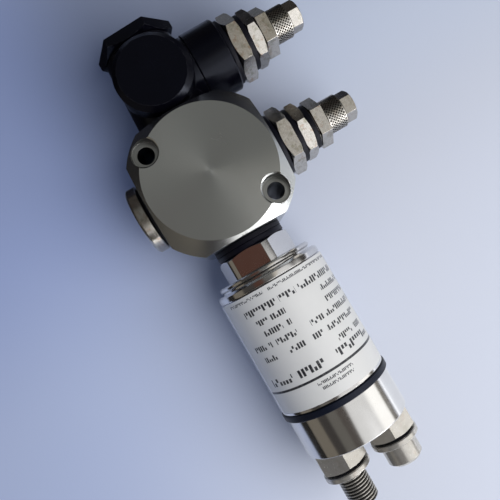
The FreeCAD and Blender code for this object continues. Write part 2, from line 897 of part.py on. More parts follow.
def flat_block(label, length, width, height, x, z):
    """Make a box centred on the port axis plane's middle line, with its underside z above that plane."""
    box = doc.addObject("Part::Box", label)
    box.Label = label
    bind(box, "Length", length)
    bind(box, "Width", width)
    bind(box, "Height", height)
    bind(box, "Placement.Base.x", x)
    bind(box, "Placement.Base.y", f"-({width}) / 2")
    bind(box, "Placement.Base.z", f"port_height + {z}")
    return box


def boards():
    board_top = "board_thickness / 2"
    pieces.append(flat_block("main_board", "board_length", "board_width", "board_thickness",
                             BOARD_AT, f"-{board_top}"))
    link_length = f"{HEAD_BOARD_AT} - ({BOARD_AT} + board_length - link_overlap)"
    pieces.append(flat_block("board_link", link_length, "link_width", "link_height",
                             f"{BOARD_AT} + board_length - link_overlap", board_top))
    chips = doc.addObject("Part::Compound", "board_chips")
    chips.Label = "board_chips"
    chips.Links = [
        flat_block(f"chip_{index + 1}", "chip_side", "chip_side", "chip_height",
                   f"{BOARD_AT} + chip_margin + {index} * chip_pitch", board_top)
        for index in range(CHIP_COUNT)
    ]
    pieces.append(chips)


def pin_places(side):
    """Give the places of five contacts on one side of the head, as pairs of formulas."""
    middle = f"{side}plug_spacing / 2"
    places = [(middle, "0")]
    for angle in PIN_ANGLES:
        places.append((f"{middle} + pin_circle_radius * cos({angle})", f"pin_circle_radius * sin({angle})"))
    return places


def head_board():
    body = turned("connector_board", [
        ("0", "0"),
        ("0", "head_bore_radius - board_clearance"),
        ("board_thickness", "head_bore_radius - board_clearance"),
        ("board_thickness", "0"),
    ])
    holes = add_sketch(body, "contact_holes", "YZ_Plane")
    for side, radius in (("-", "pin_radius"), ("", "contact_radius")):
        for y, z in pin_places(side):
            circle(holes, y, z, f"{radius} + pin_clearance")
    pocket(body, holes, "board_thickness")
    place(body, HEAD_BOARD_AT)


# Round connectors

INSERT_BORE = "(insert_radius + insert_clearance)"
CONTACTS_FROM = "(board_shoulder - board_thickness - pin_tail - head_length)"


def shell_front(hex_length):
    """Give the place where a connector's collar ends and its front begins."""
    return f"{hex_length} + plug_neck_length + collar_length"


def connector_shell(label, hex_length, front, turn):
    """Make a round connector's metal body, from its stub in the head to the front that is given."""
    flats = "plug_hex_flats"
    collar = f"{hex_length} + plug_neck_length"
    collar_end = shell_front(hex_length)
    body = turned(label, [
        ("-head_end_thickness", INSERT_BORE),
        ("-head_end_thickness", "plug_stub_radius - seal_edge"),
        ("-head_end_thickness + seal_edge", "plug_stub_radius"),
        ("0", "plug_stub_radius"),
        ("0", hex_corner(flats)),
        (f"{hex_length} - {hex_chamfer(flats)}", hex_corner(flats)),
        (hex_length, hex_face(flats)),
        (hex_length, "plug_neck_radius"),
        (collar, "plug_neck_radius"),
        (collar, "collar_radius - collar_edge"),
        (f"{collar} + collar_edge", "collar_radius"),
        (f"{collar_end} - collar_edge", "collar_radius"),
        (collar_end, "collar_radius - collar_edge"),
    ] + front)
    mill_hexagon(body, flats, "0", hex_length, turn)
    return body


def connector_ring(label, hex_length, y):
    """Make the O-ring that sits between a connector's hexagon and its collar."""
    ring = doc.addObject("Part::Torus", label)
    ring.Label = label
    section = "plug_neck_length / 2 - ring_clearance"
    bind(ring, "Radius1", f"plug_neck_radius + ring_clearance + {section}")
    bind(ring, "Radius2", section)
    ring.Placement = Placement(Vector(), Rotation(Vector(0, 1, 0), 90))
    bind(ring, "Placement.Base.x", f"{PLUGS_AT} + {hex_length} + plug_neck_length / 2")
    bind(ring, "Placement.Base.y", y)
    bind(ring, "Placement.Base.z", "port_height")
    pieces.append(ring)


def contact_insert(label, front, hole_radius):
    """Make the insulating insert that carries five contacts, seated behind the shell's stub."""
    rear = "-head_end_thickness - insert_flange_length"
    body = turned(label, [
        (rear, "0"),
        (rear, "insert_flange_radius"),
        ("-head_end_thickness", "insert_flange_radius"),
        ("-head_end_thickness", "insert_radius"),
        (front, "insert_radius"),
        (front, "0"),
    ])
    holes = add_sketch(body, "contact_holes", "YZ_Plane", lift=rear)
    circle(holes, "0", "0", f"{hole_radius} + pin_clearance")
    for angle in PIN_ANGLES:
        circle(holes, f"pin_circle_radius * cos({angle})", f"pin_circle_radius * sin({angle})",
               f"{hole_radius} + pin_clearance")
    pocket(body, holes, f"{front} - ({rear})")
    return body


def contacts(label, side, radius, front):
    """Make five contacts that run from the head's board to the front of a connector."""
    rods = []
    for index, (y, z) in enumerate(pin_places(side)):
        rod = doc.addObject("Part::Cylinder", f"{label}_{index + 1}")
        bind(rod, "Radius", radius)
        bind(rod, "Height", f"{front} - {CONTACTS_FROM}")
        rod.Placement = Placement(Vector(), Rotation(Vector(0, 1, 0), 90))
        bind(rod, "Placement.Base.x", f"{PLUGS_AT} + {CONTACTS_FROM}")
        bind(rod, "Placement.Base.y", y)
        bind(rod, "Placement.Base.z", f"port_height + {z}")
        rods.append(rod)
    group = doc.addObject("Part::Compound", label)
    group.Label = label
    group.Links = rods
    pieces.append(group)


def male_connector():
    y = "-plug_spacing / 2"
    collar_end = shell_front("male_hex_length")
    front = f"{collar_end} + male_thread_length"
    shell = connector_shell("male_connector", "male_hex_length", [
        (collar_end, "male_thread_radius"),
        (f"{front} - male_thread_lead", "male_thread_radius"),
        (front, "male_thread_radius - male_thread_lead"),
        (front, INSERT_BORE),
    ], "plug_hex_angle")
    place(shell, PLUGS_AT, y)
    connector_ring("male_ring", "male_hex_length", y)
    place(contact_insert("male_insert", "male_insert_reach", "pin_radius"), PLUGS_AT, y)
    contacts("male_pins", "-", "pin_radius", f"{front} - pin_recess")


def female_connector():
    y = "plug_spacing / 2"
    collar_end = shell_front("female_hex_length")
    front = f"{collar_end} + female_sleeve_length"
    socket_floor = f"{front} - female_socket_depth"
    insert_front = f"{front} - female_insert_recess"
    shell = connector_shell("female_connector", "female_hex_length", [
        (collar_end, "female_sleeve_radius"),
        (f"{front} - female_sleeve_edge", "female_sleeve_radius"),
        (front, "female_sleeve_radius - female_sleeve_edge"),
        (front, "female_socket_radius"),
        (socket_floor, "female_socket_radius"),
        (socket_floor, INSERT_BORE),
    ], "-plug_hex_angle")
    place(shell, PLUGS_AT, y)
    connector_ring("female_ring", "female_hex_length", y)
    place(contact_insert("female_insert", insert_front, "contact_radius"), PLUGS_AT, y)
    contacts("female_contacts", "", "contact_radius", f"{insert_front} - contact_recess")


manifold_block()
blanking_plug()
tube_fitting("direct", "0", "flat_reach", ("port_seal", "port_washer"), has_adapter_seal=True)
swivel_elbow()
tube_fitting("elbow", f"-{HUB_DISTANCE}", "arm_reach", ("port_seal",), has_adapter_seal=False)
transmitter_rings()
process_connection()
case_and_label()
connector_head()
board_carrier()
boards()
head_board()
male_connector()
female_connector()
doc.recompute()

for item in doc.Objects:
    if "Invalid" in item.State or "Error" in item.State:
        raise RuntimeError(f"{item.Label} failed: {item.State}")
for piece in pieces:
    if piece.Shape.isNull() or not piece.Shape.isValid():
        raise RuntimeError(f"{piece.Label} has no valid shape")

os.makedirs("parts", exist_ok=True)
for piece in pieces:
    piece.Shape.exportStep(f"parts/{piece.Label}.step")
print(f"{len(pieces)} pieces written")
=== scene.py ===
"""Looks of the pressure sensor: finishes, knurled nuts, threads, printed label, studio and camera.

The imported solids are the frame. Sizes in this file are millimetres, and every finished mesh is in metres in
the frame's own place. X runs along the transmitter, Y along the tube fittings, Z up.
"""
import json
import math

import bmesh
import bpy
from mathutils import Matrix, Vector


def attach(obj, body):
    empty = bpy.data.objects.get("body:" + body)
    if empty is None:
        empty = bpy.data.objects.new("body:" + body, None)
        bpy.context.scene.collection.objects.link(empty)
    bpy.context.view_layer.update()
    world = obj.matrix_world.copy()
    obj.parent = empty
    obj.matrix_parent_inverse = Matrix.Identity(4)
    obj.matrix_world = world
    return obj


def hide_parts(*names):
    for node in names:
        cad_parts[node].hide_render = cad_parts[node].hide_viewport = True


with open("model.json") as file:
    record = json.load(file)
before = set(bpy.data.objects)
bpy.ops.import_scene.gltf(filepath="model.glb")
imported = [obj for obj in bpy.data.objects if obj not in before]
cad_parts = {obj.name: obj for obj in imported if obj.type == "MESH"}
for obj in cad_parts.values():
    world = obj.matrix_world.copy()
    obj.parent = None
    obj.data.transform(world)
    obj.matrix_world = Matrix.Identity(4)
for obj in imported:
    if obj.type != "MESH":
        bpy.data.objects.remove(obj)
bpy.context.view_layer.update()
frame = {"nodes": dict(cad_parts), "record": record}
nodes = frame["nodes"]

MM = 0.001
FULL_TURN = 2 * math.pi

# Places of the solids that finishes and new pieces have to meet
PORT_Z = 25.0
HUB_X = -42.6
HOLE_AT = 17.39
PLUG_X = 111.7
PLUG_Y = 11.1


# Shader sockets

EDGE_SAMPLES = 4
EDGE_MATCH = (0.985, 0.86)


class Wire:
    """One output of a node, which Python's operators work on."""

    def __init__(self, sheet, output):
        self.sheet = sheet
        self.output = output

    def __add__(self, other):
        return self.sheet.maths("ADD", self, other)

    def __radd__(self, other):
        return self.sheet.maths("ADD", other, self)

    def __sub__(self, other):
        return self.sheet.maths("SUBTRACT", self, other)

    def __rsub__(self, other):
        return self.sheet.maths("SUBTRACT", other, self)

    def __mul__(self, other):
        return self.sheet.maths("MULTIPLY", self, other)

    def __truediv__(self, other):
        return self.sheet.maths("DIVIDE", self, other)

    def __lt__(self, other):
        return self.sheet.maths("LESS_THAN", self, other)

    def __gt__(self, other):
        return self.sheet.maths("GREATER_THAN", self, other)


class Sheet:
    """A node tree that is written as Python expressions."""

    def __init__(self, tree):
        self.tree = tree

    def node(self, kind, settings=None, inputs=None, output=0):
        """Add a node: its settings first, then the values or links of its sockets."""
        made = self.tree.nodes.new(kind)
        for name, value in (settings or {}).items():
            setattr(made, name, value)
        for key, value in (inputs or {}).items():
            self.feed(made.inputs[key], value)
        return Wire(self, made.outputs[output])

    def feed(self, socket, value):
        """Link a wire to a socket, or set the socket to a plain value."""
        if isinstance(value, Wire):
            self.tree.links.new(value.output, socket)
        else:
            socket.default_value = value

    def maths(self, operation, *values):
        return self.node("ShaderNodeMath", {"operation": operation}, dict(enumerate(values)))

    def split(self, vector):
        """The three coordinates of a vector."""
        first = self.node("ShaderNodeSeparateXYZ", {}, {0: vector})
        return [Wire(self, output) for output in first.output.node.outputs]

    def match(self, first, second):
        """Cosine of the angle between two directions."""
        return self.node("ShaderNodeVectorMath", {"operation": "DOT_PRODUCT"},
                         {0: first, 1: second}, output=1)

    def step(self, value, low, high):
        """Rise smoothly from 0 at low to 1 at high."""
        return self.node("ShaderNodeMapRange", {"interpolation_type": "SMOOTHSTEP"},
                         {"Value": value, "From Min": low, "From Max": high})

    def grey(self, share):
        return self.node("ShaderNodeCombineColor", {}, {0: share, 1: share, 2: share})

    def mix(self, share, first, second):
        """Blend two colours."""
        return self.node("ShaderNodeMix", {"data_type": "RGBA"},
                         {"Factor": share, 6: first, 7: second}, output=2)

    def tint(self, share, colour, strength):
        """Multiply a colour by a grey wire, as far as the strength says."""
        return self.node("ShaderNodeMix", {"data_type": "RGBA", "blend_type": "MULTIPLY"},
                         {"Factor": strength, 6: colour, 7: self.grey(share)}, output=2)

    def vary(self, mean, *swings):
        """A mean value and its swings: pairs of a noise and how far the value swings with it."""
        value = mean
        for noise, reach in swings:
            value = value + (noise - 0.5) * reach
        return value

    def noise(self, place, scale, detail, roughness=0.55):
        return self.node("ShaderNodeTexNoise", {"noise_dimensions": "3D"},
                         {"Vector": place, "Scale": scale, "Detail": detail, "Roughness": roughness})

    def line_noise(self, along, scale, detail):
        """Noise that only changes along one measure, such as tool marks."""
        return self.node("ShaderNodeTexNoise", {"noise_dimensions": "1D"},
                         {"W": along, "Scale": scale, "Detail": detail})


class Finish(Sheet):
    """A material with its Principled shader and the coordinates that its pattern reads, in millimetres."""

    def __init__(self, name):
        self.material = bpy.data.materials.new(name)
        self.material.use_nodes = True
        super().__init__(self.material.node_tree)
        self.shader = self.tree.nodes["Principled BSDF"]
        metres = self.node("ShaderNodeTexCoord", output="Object")
        self.place = self.node("ShaderNodeVectorMath", {"operation": "SCALE"}, {0: metres, "Scale": 1 / MM})
        self.x, self.y, self.z = self.split(self.place)

    def normal(self):
        return self.node("ShaderNodeNewGeometry", output="Normal")

    def stretched(self, x, y, z):
        """The pattern's coordinates, squeezed or drawn out along the axes."""
        return self.node("ShaderNodeVectorMath", {"operation": "MULTIPLY"}, {0: self.place, 1: (x, y, z)})

    def patches(self, low, high, scale, detail, roughness=0.55):
        """A mask of scattered patches: noise that counts from low and is full at high."""
        return self.step(self.noise(self.place, scale, detail, roughness), low, high)

    def stripe(self, measure, middle, width, blur):
        """A mask that is 1 inside a stripe and 0 outside it."""
        return self.step(self.maths("ABSOLUTE", measure - middle), width / 2 + blur, width / 2 - blur)

    def edge(self, width):
        """A mask that is 1 along sharp edges and 0 on open faces, with its width in millimetres."""
        rounded = self.node("ShaderNodeBevel", {"samples": EDGE_SAMPLES}, {"Radius": width * MM})
        return self.step(self.match(rounded, self.normal()), *EDGE_MATCH)

    def bump(self, height, depth):
        """Turn a height of 0 to 1 into a normal, with its depth in millimetres."""
        return self.node("ShaderNodeBump", {}, {"Height": height, "Strength": 1.0, "Distance": depth * MM})

    def set(self, **sockets):
        """Set or link the shader's sockets, named in lower case with _ for a space."""
        for name, value in sockets.items():
            self.feed(self.shader.inputs[name.replace("_", " ").title().replace("Ior", "IOR")], value)
        return self.material


def rgb(red, green, blue):
    return (red, green, blue, 1.0)


def radius_about(sheet, first, second):
    """Distance from an axis, from the two coordinates across it."""
    return sheet.maths("SQRT", first * first + second * second)


# Finishes

BLACK = rgb(0.0, 0.0, 0.0)

ALUMINIUM_DULL = rgb(0.58, 0.595, 0.575)
ALUMINIUM_PALE = rgb(0.66, 0.665, 0.64)
ALUMINIUM_FACED = rgb(0.95, 0.955, 0.93)
ALUMINIUM_EDGE_HIGHLIGHT = rgb(0.80, 0.81, 0.78)
ALUMINIUM_CENTRE_GLINT = rgb(0.86, 0.88, 0.86)
COUNTERBORE_SHADE = rgb(0.09, 0.095, 0.09)
SCREW_HOLE_SHADE = rgb(0.03, 0.03, 0.035)

NICKEL_DULL = rgb(0.44, 0.42, 0.38)
NICKEL_PALE = rgb(0.62, 0.595, 0.55)
NICKEL_OLIVE = rgb(0.27, 0.26, 0.19)
NICKEL_WORN = rgb(0.36, 0.235, 0.165)
NICKEL_SPECK = rgb(0.22, 0.18, 0.15)
NICKEL_EDGE_WEAR_AND_HIGHLIGHT = rgb(0.90, 0.86, 0.78)
GRIME_AND_SHADE = rgb(0.025, 0.022, 0.020)

STEEL_DULL = rgb(0.66, 0.645, 0.625)
STEEL_BRIGHT = rgb(0.77, 0.765, 0.755)
STEEL_EDGE_HIGHLIGHT = rgb(0.88, 0.88, 0.88)
STEEL_SCRATCH = rgb(0.45, 0.44, 0.42)

ANODISED_DARK = rgb(0.0006, 0.0006, 0.0018)
ANODISED_LIGHT = rgb(0.0018, 0.0018, 0.0045)
ANODISED_DUST = rgb(0.05, 0.05, 0.065)
ANODISED_EDGE_WEAR_AND_HIGHLIGHT = rgb(0.10, 0.10, 0.11)
ANODISED_SHEEN = rgb(0.78, 0.84, 1.0)

GOLD_DULL = rgb(0.83, 0.60, 0.25)
GOLD_BRIGHT = rgb(0.92, 0.72, 0.36)
BOARD_GREEN = rgb(0.02, 0.16, 0.07)
BOARD_LIGHT_GREEN = rgb(0.025, 0.19, 0.08)
BOARD_TRACK = rgb(0.07, 0.28, 0.12)

FILM_SHADE = rgb(0.65, 0.64, 0.615)
FILM_WHITE = rgb(0.72, 0.71, 0.67)
INK = rgb(0.018, 0.018, 0.022)

# Where a mask starts and where it is full
END_FACE_TILT = (0.9, 0.98)
CENTRE_GLINT_RADIUS = (3.0, 0.3)
COUNTERBORE_RADIUS = (5.25, 4.95)
COUNTERBORE_HEIGHT = (49.7, 49.0)
SCREW_HOLE_RADIUS = (3.45, 3.35)
SCREW_HOLE_HEIGHT = (44.0, 34.0)
KNURL_SHADE_RADIUS = (6.91, 6.74)
KNURL_SHADE_END = (58.7, 58.5)
THREAD_SHADE_RADIUS = (5.92, 5.45)
THREAD_SHADE_START = (124.6, 124.9)


def turned_aluminium():
    """Bare bar: rings on the lathe-turned ends, straight cutter marks on the flats, painted highlights along
    the edges and at the lathe centre, painted shade in the screw holes.
    """
    f = Finish("turned_aluminium")
    radius = radius_about(f, f.x, f.y)
    hole = f.maths("MINIMUM", radius_about(f, f.x - HOLE_AT, f.y - HOLE_AT),
                   radius_about(f, f.x + HOLE_AT, f.y + HOLE_AT))
    up = f.split(f.normal())[2]
    end_face = f.step(f.maths("ABSOLUTE", up), *END_FACE_TILT)
    fine_rings = f.line_noise(radius, scale=8.0, detail=2.0)
    rings = f.line_noise(radius, scale=2.2, detail=4.0) * 0.6 + fine_rings * 0.4
    mill = f.noise(f.stretched(0.25, 0.25, 4.0), scale=1.0, detail=3.0)
    marks = end_face * rings + (1 - end_face) * (mill * 0.35 + 0.32)
    cloud = f.noise(f.place, scale=0.05, detail=4.0)
    smear = f.noise(f.stretched(0.3, 1.0, 0.6), scale=0.12, detail=4.0)
    centre_glint = f.step(radius, *CENTRE_GLINT_RADIUS) * end_face
    in_hole = f.step(hole, *COUNTERBORE_RADIUS) * f.step(f.z, *COUNTERBORE_HEIGHT)
    deep = f.step(hole, *SCREW_HOLE_RADIUS) * f.step(f.z, *SCREW_HOLE_HEIGHT)
    drill = f.line_noise(hole, scale=3.0, detail=1.0)
    edge = f.edge(0.35)
    base = f.mix(cloud, ALUMINIUM_DULL, ALUMINIUM_PALE)
    base = f.mix(end_face * 0.32, base, ALUMINIUM_FACED)
    # Painted highlight: the block's edges lighter, as a bright line along them
    base = f.mix(edge * 0.6, base, ALUMINIUM_EDGE_HIGHLIGHT)
    base = f.tint(marks * 0.5 + 0.70, base, 0.25)
    # Painted highlight: a light spot at the lathe centre of each end face
    base = f.mix(centre_glint * 0.7, base, ALUMINIUM_CENTRE_GLINT)
    # Painted shade: the counterbores darker in drill rings, and the screw holes darker further down
    base = f.mix(in_hole * (0.25 + drill * 0.45), base, COUNTERBORE_SHADE)
    base = f.mix(deep * 0.85, base, SCREW_HOLE_SHADE)
    rough = f.vary(0.25, (marks, 0.06), (smear, 0.08)) + in_hole * 0.08 - edge * 0.06
    across_rings = f.node("ShaderNodeCombineXYZ", {}, {0: end_face * f.x, 1: end_face * f.y, 2: 1 - end_face})
    return f.set(base_color=base, metallic=1.0, roughness=rough, anisotropic=end_face * 0.50 + 0.15,
                 tangent=across_rings, normal=f.bump(marks + in_hole * drill, 0.0018))


def nickel(name, along, dirt_and_shade_mask, wear, metallic=1.0):
    """Nickel plate over brass: turning marks, smudges, worn patches, edges lighter in patches as rubbed wear
    and painted highlight, dirty patches on the fittings, and painted shade in the grooves.
    """
    f = Finish(name)
    dirt_and_shade = dirt_and_shade_mask(f)
    marks = f.line_noise(along(f), scale=5.0, detail=3.0)
    smudge = f.noise(f.place, scale=0.25, detail=6.0, roughness=0.65)
    mottle = f.noise(f.place, scale=1.1, detail=4.0, roughness=0.7)
    worn = f.patches(0.52, 0.70, scale=0.45, detail=5.0, roughness=0.6)
    speck = f.patches(0.66, 0.75, scale=2.4, detail=2.0)
    edge = f.edge(0.18) * f.patches(0.35, 0.60, scale=0.9, detail=3.0)
    olive = f.patches(0.48, 0.68, scale=0.36, detail=4.0, roughness=0.6)
    base = f.mix(smudge, NICKEL_DULL, NICKEL_PALE)
    base = f.mix(olive * 0.65 * wear, base, NICKEL_OLIVE)
    base = f.mix(worn * 0.6 * wear, base, NICKEL_WORN)
    base = f.tint(mottle * 1.5 + 0.25, base, 0.45 * wear)
    base = f.mix(speck * 0.5 * wear, base, NICKEL_SPECK)
    # Rubbed wear and painted highlight: patches of the edges lighter
    base = f.mix(edge * 0.7, base, NICKEL_EDGE_WEAR_AND_HIGHLIGHT)
    # Dark colour from the caller's mask: dirty patches on the plain fittings, painted shade in the grooves of
    # the knurls and the thread
    base = f.mix(dirt_and_shade * 0.9, base, GRIME_AND_SHADE)
    rough = f.vary(0.22, (smudge, 0.24), (marks, 0.06)) + speck * 0.15 + dirt_and_shade * 0.25
    height = marks * 0.4 + smudge * 0.4 - speck * 0.4
    return f.set(base_color=base, metallic=metallic, roughness=rough, normal=f.bump(height, 0.010))


def along_x(f):
    return f.x


def along_y(f):
    return f.y


def scattered_grime(f):
    """Faint dark patches all over the fittings."""
    return f.patches(0.62, 0.80, scale=1.3, detail=3.0) * 0.4


def knurl_shade(f):
    """Painted shade in the sunk diamonds of both nuts."""
    high = f.z - PORT_Z
    out = f.maths("MINIMUM", radius_about(f, f.x, high), radius_about(f, f.x - HUB_X, high))
    return f.step(out, *KNURL_SHADE_RADIUS) * f.step(f.y, *KNURL_SHADE_END)


def thread_shade(f):
    """Painted shade in the turns of the male connector's thread."""
    out = radius_about(f, f.y + PLUG_Y, f.z - PORT_Z)
    return f.step(out, *THREAD_SHADE_RADIUS) * f.step(f.x, *THREAD_SHADE_START)


def stainless():
    """Bright stainless steel, turned about the transmitter's axis."""
    f = Finish("turned_stainless")
    rings = f.line_noise(f.x, scale=6.0, detail=4.0)
    coarse = f.line_noise(f.x, scale=0.9, detail=3.0)
    smudge = f.noise(f.place, scale=0.12, detail=5.0)
    scratch = f.step(f.noise(f.stretched(0.15, 1.6, 1.6), scale=1.2, detail=3.0), 0.66, 0.72)
    edge = f.edge(0.25)
    base = f.mix(smudge, STEEL_DULL, STEEL_BRIGHT)
    # Painted highlight: the edges lighter
    base = f.mix(edge * 0.5, base, STEEL_EDGE_HIGHLIGHT)
    base = f.mix(scratch * 0.25, base, STEEL_SCRATCH)
    rough = f.vary(0.135, (smudge, 0.10), (rings, 0.06), (coarse, 0.04)) + scratch * 0.08
    return f.set(base_color=base, metallic=1.0, roughness=rough,
                 normal=f.bump(rings * 0.6 + coarse * 0.3 - scratch * 0.2, 0.003))


def black_anodised():
    """Black elbow and bolt: satin sheen, fine turning marks, dust, and grey edges in patches as rubbed wear
    and painted highlight.
    """
    f = Finish("black_anodised")
    hub_rings = f.line_noise(radius_about(f, f.x - HUB_X, f.y), scale=4.0, detail=3.0)
    marks = hub_rings * 0.5 + f.line_noise(f.y, scale=5.0, detail=3.0) * 0.5
    cloud = f.noise(f.place, scale=0.10, detail=4.0)
    dust = f.patches(0.68, 0.82, scale=1.8, detail=2.0)
    edge = f.edge(0.3) * f.patches(0.40, 0.65, scale=0.5, detail=4.0)
    base = f.mix(cloud, ANODISED_DARK, ANODISED_LIGHT)
    base = f.mix(dust * 0.15, base, ANODISED_DUST)
    # Rubbed wear and painted highlight: patches of the edges grey
    base = f.mix(edge * 0.5, base, ANODISED_EDGE_WEAR_AND_HIGHLIGHT)
    rough = f.vary(0.24, (cloud, 0.14), (marks, 0.08)) + dust * 0.12
    return f.set(base_color=base, metallic=0.0, roughness=rough, specular_ior_level=0.24,
                 specular_tint=ANODISED_SHEEN, normal=f.bump(marks, 0.008))


def rubber(name, dark, light, rough_mean):
    """Seal rubber: matt black with a fine grain and a little dust."""
    f = Finish(name)
    grain = f.noise(f.place, scale=5.0, detail=2.0)
    dust = f.patches(0.55, 0.80, scale=1.1, detail=4.0)
    base = f.mix(dust, rgb(*dark), rgb(*light))
    rough = f.vary(rough_mean, (grain, 0.15)) + dust * 0.10
    return f.set(base_color=base, roughness=rough, specular_ior_level=0.24, normal=f.bump(grain, 0.02))


def moulded(name, dark, light, rough_mean):
    """Moulded plastic with a fine skin."""
    f = Finish(name)
    grain = f.noise(f.place, scale=3.5, detail=2.0)
    flow = f.noise(f.place, scale=0.4, detail=3.0)
    base = f.mix(flow, rgb(*dark), rgb(*light))
    return f.set(base_color=base, roughness=f.vary(rough_mean, (grain, 0.12)), normal=f.bump(grain, 0.01))


def gold():
    """Gold-flashed contacts."""
    f = Finish("gold_flash")
    tone = f.noise(f.place, scale=1.2, detail=3.0)
    return f.set(base_color=f.mix(tone, GOLD_DULL, GOLD_BRIGHT), metallic=1.0,
                 roughness=f.vary(0.22, (tone, 0.1)))


def circuit_board():
    """Green solder mask with faint copper tracks under it."""
    f = Finish("circuit_board")
    tracks = f.node("ShaderNodeTexBrick", {}, {
        "Vector": f.place, "Scale": 0.35, "Mortar Size": 0.03,
        "Color1": BOARD_GREEN, "Color2": BOARD_LIGHT_GREEN, "Mortar": BOARD_TRACK})
    skin = f.noise(f.place, scale=2.0, detail=2.0)
    return f.set(base_color=tracks, roughness=f.vary(0.32, (skin, 0.1)))


LABEL_RADIUS = 22.45
RULE_AT = 82.8
RULE_WIDTH = 0.9
SEAM_AT = -31.4
SEAM_WIDTH = 6.2
SEAM_BLUR = 0.06
INK_BLUR = 0.08
# Strokes: their pitch as a share of the row's height, how they fill it, and the share that is half as high
STROKE_PITCH = 0.52
STROKE_FILL = (0.72, 0.62)
HALF_HIGH_SHARE = 0.28
# Rows of plain strokes on the label: place along X, height, and the spans around the case
LABEL_ROWS = (
    (46.8, 1.1, ((-22.5, -5.6), (-3.5, 28.6))),
    (51.7, 2.4, ((-17.1, -3.2), (-1.8, 5.1), (6.6, 28.0))),
    (56.2, 2.1, ((-14.1, -9.0), (-7.6, -1.8), (14.6, 32.0))),
    (60.6, 2.1, ((-13.3, -5.2), (-3.6, -1.8), (14.2, 32.0))),
    (65.0, 2.1, ((-22.0, -15.4), (-14.0, -12.6), (-10.6, -1.9), (3.8, 9.6), (10.8, 32.0))),
    (69.7, 2.1, ((-19.4, -13.1), (-7.9, -1.3), (2.1, 6.3), (8.3, 26.3))),
    (74.8, 2.1, ((10.2, 18.1), (20.2, 26.4))),
    (78.9, 3.0, ((-22.9, -12.0), (-9.9, 1.2), (6.7, 27.5))),
    (85.0, 1.1, ((-5.0, 10.0),)),
    (87.0, 1.1, ((-4.0, 9.3),)),
)


def label_film():
    """White film with a rule line and rows of plain strokes, and bare steel where its ends don't meet."""
    f = Finish("label_film")
    around = f.maths("ARCTAN2", f.y, f.z - PORT_Z) * LABEL_RADIUS
    paper = f.noise(f.place, scale=0.10, detail=4.0)
    skin = f.noise(f.place, scale=1.5, detail=2.0)
    ink = f.stripe(f.x, RULE_AT, RULE_WIDTH, INK_BLUR)
    for place, height, spans in LABEL_ROWS:
        ink = f.maths("MAXIMUM", ink, strokes(f, around, place, height, spans))
    fade = f.patches(0.25, 0.50, scale=1.6, detail=3.0)
    ink = ink * (0.82 + fade * 0.18)
    bare = f.stripe(around, SEAM_AT, SEAM_WIDTH, SEAM_BLUR)
    base = f.mix(paper, FILM_SHADE, FILM_WHITE)
    base = f.mix(ink, base, INK)
    base = f.mix(bare, base, f.mix(paper, STEEL_DULL, STEEL_BRIGHT))
    rough = f.vary(0.40, (paper, 0.14)) - ink * 0.10 - bare * 0.22
    return f.set(base_color=base, metallic=bare, roughness=rough, coat_weight=0.15, coat_roughness=0.25,
                 normal=f.bump(skin + ink * 0.3, 0.006))


def strokes(f, around, place, height, spans):
    """A row of upright strokes, some full and some half as high, with a gap between groups."""
    row = f.x - place
    cell = height * STROKE_PITCH
    count = f.maths("FLOOR", around / cell)
    within = around / cell - count
    pick = f.node("ShaderNodeTexWhiteNoise", {"noise_dimensions": "1D"}, {"W": count + place})
    reach = height / 2
    low = (pick > 1 - HALF_HIGH_SHARE) * reach - reach
    high = reach - (pick < HALF_HIGH_SHARE) * reach
    tall = f.step(row - low, -INK_BLUR, INK_BLUR) * f.step(high - row, -INK_BLUR, INK_BLUR)
    upright = f.step(within, *STROKE_FILL)
    inside = 0.0
    for start, end in spans:
        inside = (around > start) * (around < end) + inside
    return tall * upright * inside


FINISHES = {
    "block_aluminium": turned_aluminium(),
    "seal_rubber": rubber("seal_rubber", (0.004, 0.004, 0.007), (0.011, 0.011, 0.016), rough_mean=0.52),
    "black_washer": rubber("bonded_washer", (0.004, 0.004, 0.008), (0.010, 0.010, 0.016), rough_mean=0.38),
    "nickel_brass": nickel("nickel_plate", along_y, scattered_grime, wear=1.0),
    "black_anodised": black_anodised(),
    "stainless": stainless(),
    "label_film": label_film(),
    "carrier_plastic": moulded("black_moulding", (0.018, 0.018, 0.020), (0.030, 0.030, 0.034),
                               rough_mean=0.45),
    "circuit_board": circuit_board(),
    "gold_contact": gold(),
}
# The nuts get painted shade in their knurl, the connectors painted shade in their thread
KNURLED_NICKEL = nickel("knurled_nickel", along_y, knurl_shade, wear=0.6)
PLUG_NICKEL = nickel("connector_nickel", along_x, thread_shade, wear=0.35, metallic=0.7)
GASKET_RUBBER = rubber("gasket_rubber", (0.006, 0.008, 0.016), (0.014, 0.016, 0.028), rough_mean=0.42)

slot_of = {entry["node"]: entry["material_slot"] for entry in frame["record"]["subparts"]}


def dress(piece, finish):
    """Give a piece one finish and no other."""
    piece.data.materials.clear()
    piece.data.materials.append(finish)


for name, solid in nodes.items():
    dress(solid, FINISHES[slot_of[name]])
for name in ("male_connector", "female_connector"):
    dress(nodes[name], PLUG_NICKEL)
dress(nodes["head_gasket"], GASKET_RUBBER)


# Solids that keep their shape, with their edges rounded

WELD_GAP = 0.001
FLAT_ANGLE = math.radians(0.4)
SOFT_WIDTH = 0.15
SOFT_ANGLE = math.radians(24)
EDGE_SEGMENTS = 2
SOFT_PIECES = (
    "manifold_block", "blanking_plug", "direct_reducer", "direct_adapter", "direct_connector",
    "elbow_body", "hollow_bolt", "elbow_reducer", "elbow_adapter", "elbow_connector",
    "process_connection", "case_tube", "connector_head", "female_connector",
)


